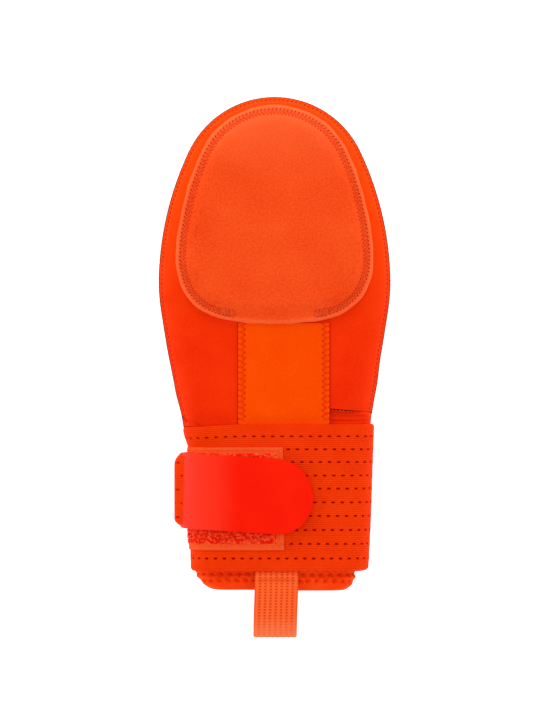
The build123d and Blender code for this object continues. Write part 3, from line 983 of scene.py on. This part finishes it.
def wrist_band():
    """Wide woven elastic with rows of slit-like ventilation holes, every other row moved by half a pitch."""
    first = band_high[1] - 6.3
    dash = [-0.95, -0.5, 0.5, 0.95]
    columns = sorted(d + base for base in (0, hole_pitch / 2) for d in dash)
    columns = np.array([c + hole_pitch * k for k in range(hole_columns) for c in columns])
    columns = np.r_[columns, columns[0] + band_ring["length"]]
    low_y, high_y = band_low[1], band_high[1]
    rows = [(high_y - 0.1, -1.6), (high_y, -1.0), (high_y, -0.4), (high_y - 0.35, 0.0), (high_y - 1.6, 0.05)]
    marks = {}
    for k in range(hole_rows):
        y = first - k * hole_row_pitch
        for d in (2.2, 0.5, 0, -0.5, -2.2):
            if d == 0.5:
                marks[len(rows)] = k
            rows.append((y + d, 0.0))
    rows += [(low_y + 1.6, 0.05), (low_y + 0.35, 0.0), (low_y, -0.4), (low_y, -1.0), (low_y + 0.1, -1.6)]
    rows += [(low_y + 0.6, -1.95), ((low_y + high_y) / 2, -1.95), (high_y - 0.6, -1.95), rows[0]]
    row_y, row_out = np.array([r[0] for r in rows]), np.array([r[1] for r in rows])
    last_column, last_row = len(columns) - 1, len(rows) - 1

    def place(u, v):
        c, r = np.round(u * last_column).astype(int), np.round(v * last_row).astype(int)
        s, y, out = columns[c], row_y[r], row_out[r]
        near = np.round((first - y) / hole_row_pitch)
        dx = near_whole(s / hole_pitch + near * 0.5) * hole_pitch
        dy = y - (first - near * hole_row_pitch)
        bow = np.where(near % 2 == 0, 1, -1) * 0.3 * (0.5 - np.clip(np.abs(dx) / 1.1, 0, 1) ** 2)
        y = y + bow * (np.abs(dx) < 1.1) * (np.abs(dy) < 1) * (out > -0.1)
        y = y + np.sin(math.pi * np.clip((first - y) / 63, 0, 1)) ** 0.8
        x, y, z = band_point(s - 1.7, y, out + 0.05 * np.cos(dy * math.tau / hole_row_pitch) * (out > -0.1))
        return x, y - 1.6 * smooth_step((-15 - x) / 32) * np.clip((y + 48) / 18, 0, 1), z

    def slits(u, v):
        column, row = (u * last_column).astype(int), (v * last_row).astype(int)
        chosen = np.zeros(len(u), bool)
        for start, k in marks.items():
            wanted = (0, 1, 2) if k % 2 == 0 else (4, 5, 6)
            chosen |= ((row == start) | (row == start + 1)) & np.isin(column % 8, wanted)
        return chosen

    run = np.r_[0, np.cumsum(np.hypot(np.diff(row_y), np.diff(row_out)))]

    def laid(u, v):
        return columns[np.round(u * last_column).astype(int)], run[np.round(v * last_row).astype(int)]

    piece = cloth("wrist_band", last_column, last_row, place, laid, merge=0, second=slits)
    normals, centres = np.zeros((2, len(piece.data.polygons) * 3))
    piece.data.polygons.foreach_get("normal", normals)
    piece.data.polygons.foreach_get("center", centres)
    normals, centres = normals.reshape(-1, 3), centres.reshape(-1, 3)
    if normals[np.argmax(centres[:, 2]), 2] < 0:
        piece.data.flip_normals()
    picked = np.zeros(len(piece.data.polygons), np.int32)
    piece.data.polygons.foreach_get("material_index", picked)
    piece.data.materials.append(elastic)
    piece.data.materials.append(shade)
    for parts in (piece.data.vertices, piece.data.edges):
        parts.foreach_set("select", np.zeros(len(parts), bool))
    piece.data.polygons.foreach_set("select", picked.astype(bool))
    bpy.context.tool_settings.mesh_select_mode = (False, False, True)
    bpy.ops.object.mode_set(mode="EDIT")
    # The slits are sunk, and their bottoms take painted shade
    bpy.ops.mesh.extrude_region_shrink_fatten(TRANSFORM_OT_shrink_fatten={"value": -0.0011})
    piece.active_material_index = 1
    bpy.ops.object.material_slot_assign()
    merge_close(0.01)
    bpy.ops.object.mode_set(mode="OBJECT")
    face_out(piece)
    done(piece, "mitt", "elastic", elastic, shade, stands_for=["wrist_band"], smooth=50)


wrist_band()

# ---------------------------------------------------------------- loop patch

selvedge = 3.0
stitch_length = 2.6  # of the straight rows on the patch and the tail
patch_left_s, patch_right_s = -53.0, patch_high[0] - 2.2


def loop_patch():
    """Woven base of the loop tape with its flat pale selvedges, and the thread that holds it."""
    low_y, high_y = patch_low[1], patch_high[1]

    def place(u, v):
        s = between(patch_left_s, patch_right_s, u)
        y = between(low_y, high_y, v)
        s = s + 0.025 * (high_y - y) * smooth_step(u * 3 - 2)
        return band_point(s, y, 0.85)

    width, height = patch_right_s - patch_left_s, high_y - low_y
    piece = cloth("loop_patch", 60, 40, place, (width, height), merge=0)
    face_out(piece, 1800)
    thicken(piece, 0.7)
    soften_edges(piece, 0.2)
    done(piece, "mitt", "loop_fastener", selvedge_cloth, stands_for=["loop_patch"], smooth=50)

    runs = []
    inset = 1.3
    corners = [(patch_left_s + 2, high_y - inset), (patch_right_s - inset, high_y - inset)]
    corners += [(patch_right_s + 0.6 - inset, low_y + inset), (patch_left_s + 2, low_y + inset)]
    stitch_out = np.array([0.75, 1.05, 1.05, 0.75])
    for (s0, y0), (s1, y1) in zip(corners, corners[1:]):
        for share in stitch_shares(round(math.hypot(s1 - s0, y1 - y0) / stitch_length), 0.08, 0.82):
            points = band_point(between(s0, s1, share), between(y0, y1, share), stitch_out)
            runs.append(np.stack(points, axis=1))
    stitched("patch_stitching", runs, 0.4, pale_thread_painted_light)


loop_patch()


def loop_pile():
    """Curly nylon loops on a brushed ground, each loop its own way."""
    dice = random.Random(7)
    low_y, high_y = patch_low[1] + selvedge, patch_high[1] - selvedge
    left, right = patch_left_s + 0.4, patch_right_s - selvedge

    def place(u, v):
        s = between(left, right, u)
        y = between(low_y, high_y, v)
        edge = np.minimum(np.minimum(s - left, right - s), np.minimum(y - low_y, high_y - y))
        lumps = 0.16 * np.sin(s * 5.1 + 2 * np.sin(y * 2.3)) * np.sin(y * 4.7 + 1.5 * np.sin(s * 1.9))
        return band_point(s, y, 0.86 + (0.55 + lumps) * smooth_step(edge / 0.7))

    ground = cloth("loop_pile", 130, 130, place, (right - left, high_y - low_y), merge=0)
    face_out(ground, 9000)
    runs = []
    pitch = 1.2
    for i in range(int((right - left - 1) / pitch)):
        for j in range(int((high_y - low_y - 1) / pitch)):
            s = left + 0.9 + pitch * (i + dice.uniform(-0.35, 0.35))
            y = low_y + 0.9 + pitch * (j + dice.uniform(-0.35, 0.35))
            turn, width, tall = dice.uniform(0, math.pi), dice.uniform(0.45, 0.8), dice.uniform(0.6, 1.0)
            lean = dice.uniform(-0.35, 0.35)
            a = np.linspace(-0.25, math.pi + 0.25, 7)
            across, up = np.cos(a) * width, np.sin(a) * tall
            ps, py = s + across * math.cos(turn) + up * lean, y + across * math.sin(turn) + up * lean * 0.6
            runs.append(np.stack(band_point(ps, py, np.clip(1.3 + up, 1.1, 2.15)), axis=1))
    loops = threads("loop_pile_loops", runs, 0.27, 0)
    piece = joined(ground, loops, loop_nylon, loop_nylon)
    done(piece, "mitt", "loop_fastener", loop_nylon, stands_for=["loop_pile"], smooth=80)


loop_pile()

# ---------------------------------------------------------------- tab with its hook tape

tab_left_s = -53.2
tab_tip = 19.3
tab_half = 19.5
tab_tilt = math.radians(-3.5)
tab_middle_y = -63.9


def tab_point(a, b, out, inset=0.0):
    """A point of the tab: a from its sewn end to its round tip, b from -1 to 1 across it."""
    reach = tab_tip - inset - tab_left_s
    half = tab_half - inset
    run = reach * a
    round_start = reach - half
    past = np.clip((run - round_start) / half, 0, 1)
    width = half * np.sqrt(np.clip(1 - past ** 2, 0, 1))
    near = np.clip(1 - run / 2.6, 0, 1)
    width = width - 2.6 * (1 - np.sqrt(1 - near ** 2))
    s = tab_left_s + run
    y = tab_middle_y + b * width + np.sin(tab_tilt) * (s + 48.6)
    return band_point(s, y, out - 0.8 * b * (1 - a) ** 6)


def tab_cover():
    """Smooth rubber skin of the tab, rounded at its tip and drawn down over the side of the wrist."""
    def place(u, v):
        a = 1 - (1 - u) ** 1.35
        b = v * 2 - 1
        out = 4.55 + 0.2 * (1 - b ** 8) - 0.25 * smooth_step((a - 0.93) / 0.07)
        return tab_point(a, b, out)

    piece = cloth("tab_cover", 120, 60, place, (73, 39.5))
    face_out(piece, 3500)
    piece.data.materials.append(tab_rubber)
    piece.data.materials.append(tab_edge_highlight)
    thicken(piece, 1.25, rim=1)
    soften_edges(piece, 0.4, 3, material=1)
    done(piece, "tab", "tab_rubber", tab_rubber, tab_edge_highlight, stands_for=["tab_cover"], smooth=50)


tab_cover()


def hook_tape():
    """Hook tape under the tab: a thin base with rows of small bent hooks that point at the pile."""
    def place(u, v):
        return tab_point(0.06 + 0.94 * u, v * 2 - 1, 3.3, 1.6)

    base = cloth("hook_tape", 70, 40, place, (68, 36))
    face_out(base, 1400)
    thicken(base, 0.4)
    runs = []
    for i in range(44):
        for j in range(24):
            a, b = 0.08 + 0.9 * (i + 0.5) / 44, (j + 0.5) / 12 - 1
            lean = 0.012 if (i + j) % 2 else -0.012
            course = ((0.0, 2.95), (0.1, 2.6), (0.55, 2.48), (0.95, 2.56))
            runs.append([tab_point(a + lean * ahead, b, out, 2.2) for ahead, out in course])
    piece = joined(base, threads("tape_hooks", runs, 0.3, 0), hook_plastic, hook_plastic)
    done(piece, "tab", "hook_fastener", hook_plastic, stands_for=["hook_tape"], smooth=60)


hook_tape()


def tab_stitching():
    """Two rows of stitches that hold the tab to the strap tail."""
    runs = []
    for a in (0.012, 0.04):
        for share in stitch_shares(15, 0.05, 0.8):
            runs.append(np.stack(tab_point(a, 1.8 * share - 0.9, np.array([4.6, 4.98, 4.98, 4.6])), axis=1))
    stitched("tab_stitching", runs, 0.45, thread, body="tab")


tab_stitching()

# ---------------------------------------------------------------- strap tail

tail_corner = 17.4
tail_right = 50.0
tail_top = cover_high[2] - 0.5
tail_ring = ring(tail_low[0], tail_right, tail_low[2], tail_top, tail_corner)


def strap_tail():
    """Narrow elastic from the back of the band round the side to the tab."""
    left_s = -50.6
    flat = -tail_low[0] - tail_corner
    end_s = -(flat + tail_corner * math.pi + (tail_top - tail_low[2] - 2 * tail_corner) + flat + tail_high[0])
    low_y, high_y = tail_low[1], tail_high[1]

    def from_dash(s, y):
        """How far a point of the elastic is from the middle of the nearest hole, along and across it."""
        row = np.round((y - low_y - 4.2) / hole_row_pitch)
        along_it = near_whole((s + 55.6) / dash_pitch + row * 0.5) * dash_pitch
        return along_it, y - (low_y + 4.2 + row * hole_row_pitch)

    def place(u, v):
        s = between(left_s, end_s, u)
        y = between(low_y, high_y, v)
        y = y + 0.25 * np.sin(s / 5.0) * (v - 0.5)
        dx, dy = from_dash(s, y)
        hole = np.exp(-((dx / 0.75) ** 4 + (dy / 0.5) ** 4))
        upper, lower = np.clip((y - high_y + 6.2) / 6.2, 0, 1), np.clip((low_y + 3.0 - y) / 3.0, 0, 1)
        corner = upper ** 2 * 3.6 + lower ** 2 * 2.2
        left = tail_low[0] + corner * np.clip((-s - 20) / 30, 0, 1)
        x, z = on_ring(tail_ring, s, -0.6 * hole, left, tail_right)
        tuck = smooth_step((s + 57.5) / 7)
        return x + 3.4 * tuck, y, z - 0.9 * tuck

    # Faces over each hole of the elastic take painted shade
    def dashes(u, v):
        dx, dy = from_dash(between(left_s, end_s, u), between(low_y, high_y, v))
        return (np.abs(dx) < 0.95) & (np.abs(dy) < 0.46)

    piece = cloth("strap_tail", 150, 84, place, (end_s - left_s, high_y - low_y), merge=0, second=dashes)
    face_out(piece, 150 * 40 + 15, (-1, 0, 0))
    thicken(piece, 1.8)
    soften_edges(piece, 0.3)
    done(piece, None, "elastic", elastic, shade, stands_for=["strap_tail_back", "strap_tail_front"], smooth=50)
    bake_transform(piece)

    (x0, y0, _), (x1, y1, _) = span("tail_stitching")
    corners = [(x0, y0), (x1, y0), (x1, y1), (x0, y1)]
    legs = list(zip(corners, corners[1:] + corners[:1])) + [(corners[0], corners[2]), (corners[1], corners[3])]
    runs = []
    for (x0, y0), (x1, y1) in legs:
        for share in stitch_shares(round(math.hypot(x1 - x0, y1 - y0) / stitch_length), 0.05, 0.8):
            start, stop = [(between(x0, x1, a), between(y0, y1, a), tail_low[2] + 0.1) for a in share[[0, -1]]]
            runs.append(arch(start, stop, (0, 0, -0.3), 0.2, 4))
    stitched("tail_stitching", runs, 0.45, thread)


strap_tail()

# ---------------------------------------------------------------- pull loop

rib_count = 8
pick = 1.5


def webbing_path():
    """Middle line of the webbing in the plane of y and z: under the band, over the hem, round and back."""
    points = [(-92, 33.2), (-100, 33.2), (-105.5, 33.3), (-108, 34.5), (-113, 35.0), (-119, 35.8)]
    points += [(-127, 36.2), (-134, 35.6), (-138.2, 34.4), (-139.6, 32.8), (-138.4, 31.2), (-134, 30.3)]
    points += [(-127, 30.0), (-120.5, 30.6), (-117, 32.6), (-112, 33.6), (-107, 33.7)]
    curve = bpy.data.curves.new("webbing_path", "CURVE")
    curve.dimensions = "3D"
    line = curve.splines.new("NURBS")
    line.points.add(len(points) - 1)
    for point, (y, z) in zip(line.points, points):
        point.co = (0, y, z, 1)
    line.order_u = 3
    line.use_endpoint_u = True
    line.resolution_u = 12
    holder = bpy.data.objects.new("webbing_path", curve)
    mesh = bpy.data.meshes.new_from_object(holder)
    path = np.array([v.co[1:] for v in mesh.vertices])
    bpy.data.meshes.remove(mesh)
    bpy.data.objects.remove(holder)
    bpy.data.curves.remove(curve)
    return path


def pull_loop():
    """Coarse webbing folded into a loop, with crowned warp yarns in a brick pattern."""
    path = webbing_path()
    run = np.r_[0, np.cumsum(np.hypot(*np.diff(path, axis=0).T))]
    length = run[-1]
    tangent = np.gradient(path, run, axis=0)
    tangent /= np.linalg.norm(tangent, axis=1)[:, None]
    left, right = loop_low[0], loop_high[0]
    crowns = {}

    def place(u, v):
        s = v * length
        y, z = np.interp(s, run, path[:, 0]), np.interp(s, run, path[:, 1])
        ty, tz = np.interp(s, run, tangent[:, 0]), np.interp(s, run, tangent[:, 1])
        across = np.mod(u * 2, 1)
        top = u < 0.5
        x = np.where(top, across, 1 - across)
        pitch = (right - left) / rib_count
        rib = near_whole(x * rib_count) * pitch
        beat = (np.mod(s / pick, 1) - 0.5) * pick
        sunk = np.exp(-((rib / 0.62) ** 4 + (beat / 0.42) ** 4))
        nubs = 0.5 + 0.5 * np.cos(rib * math.tau / pitch * 2) * np.cos(beat * math.tau / pick)
        crown = np.clip(0.72 + 0.28 * nubs - 0.8 * sunk, 0, 1)
        edge = smooth_step(np.minimum(x, 1 - x) * 22)
        crowns["value"] = crown
        out = (0.30 + 0.42 * crown) * (0.35 + 0.65 * edge) * np.where(top, 1, -1)
        slant = -0.8 * smooth_step((-106 - y) / 34)
        return left + 0.25 + (right - left + 0.15) * x + slant, y + tz * out, z - ty * out

    columns, rows = 192, 300
    piece = cloth("pull_loop", columns, rows, place, (45, length), merge=0)
    crown = piece.data.attributes.new("crown", "FLOAT", "POINT")
    crown.data.foreach_set("value", crowns["value"].astype(np.float32))
    only(piece)
    merge_close(0.01)
    bpy.ops.mesh.select_mode(type="VERT")
    bpy.ops.mesh.select_all(action="DESELECT")
    bpy.ops.mesh.select_non_manifold()
    bpy.ops.mesh.fill_holes(sides=0)
    bpy.ops.object.mode_set(mode="OBJECT")
    face_out(piece)
    done(piece, None, "webbing", webbing_cloth, stands_for=["pull_loop", "loop_anchor"], smooth=70)
    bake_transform(piece)

    runs = []
    for x in np.linspace(left + 1.8, right - 1.8, 26):
        runs.append(arch((x, -109.2, 35.3), (x + 0.4, -111.2, 35.35), (0, 0, 0.35), 0.3, 4))
    stitched("pull_loop_bartack", runs, 0.34, pale_thread_painted_light, body="loop")


pull_loop()

# ---------------------------------------------------------------- floor, light and camera

bpy.ops.object.select_all(action="DESELECT")
bpy.ops.mesh.primitive_plane_add(size=6, location=(0, 0, -0.0002))
floor = bpy.context.object
floor.name = "floor"
paper = start_material(
    "pale_floor", 1.0, Base_Color=(0.95, 0.95, 0.95, 1), Specular_IOR_Level=0.0,
    Emission_Color=(1, 1, 1, 1), Emission_Strength=0.7,
)
floor.data.materials.append(paper[0])


def softbox(name, place, aim, size, power):
    """A large soft area light at place, facing aim."""
    light = bpy.data.lights.new(name, "AREA")
    light.shape = "RECTANGLE"
    light.size, light.size_y = size
    light.energy = power
    lamp = bpy.data.objects.new(name, light)
    lamp.location = place
    lamp.rotation_euler = (Vector(aim) - Vector(place)).to_track_quat("-Z", "Y").to_euler()
    bpy.context.scene.collection.objects.link(lamp)


mitt_middle = (0, 0.02, 0.02)
softbox("left_light", (-0.8, 0.1, 0.42), mitt_middle, (0.9, 0.5), 2.4)
softbox("right_light", (0.8, 0.1, 0.42), mitt_middle, (0.9, 0.5), 2.4)
softbox("far_light", (0, 0.9, 0.45), mitt_middle, (1.2, 0.5), 4.6)
softbox("near_light", (0, -0.9, 0.4), mitt_middle, (1.2, 0.5), 3.4)
softbox("overhead_light", (-0.1, 0.1, 1.1), (0, 0, 0), (0.9, 0.9), 3.2)

world = bpy.data.worlds.new("studio")
world.use_nodes = True
world.node_tree.nodes["Background"].inputs["Color"].default_value = (1, 1, 1, 1)
world.node_tree.nodes["Background"].inputs["Strength"].default_value = 0.35
bpy.context.scene.world = world
bpy.context.scene.view_settings.view_transform = "Standard"

# The camera looks straight down, from far enough that the view is nearly parallel
view_height = 0.3692
lens = 250.0
sensor = 36.0
distance = view_height * lens / sensor
view = bpy.data.cameras.new("camera")
view.lens = lens
view.sensor_width = sensor
camera = bpy.data.objects.new("camera", view)
camera.location = (-0.0042, 0.0062, mid_z * MM + distance)
bpy.context.scene.collection.objects.link(camera)
view.clip_end = 20
bpy.context.scene.camera = camera
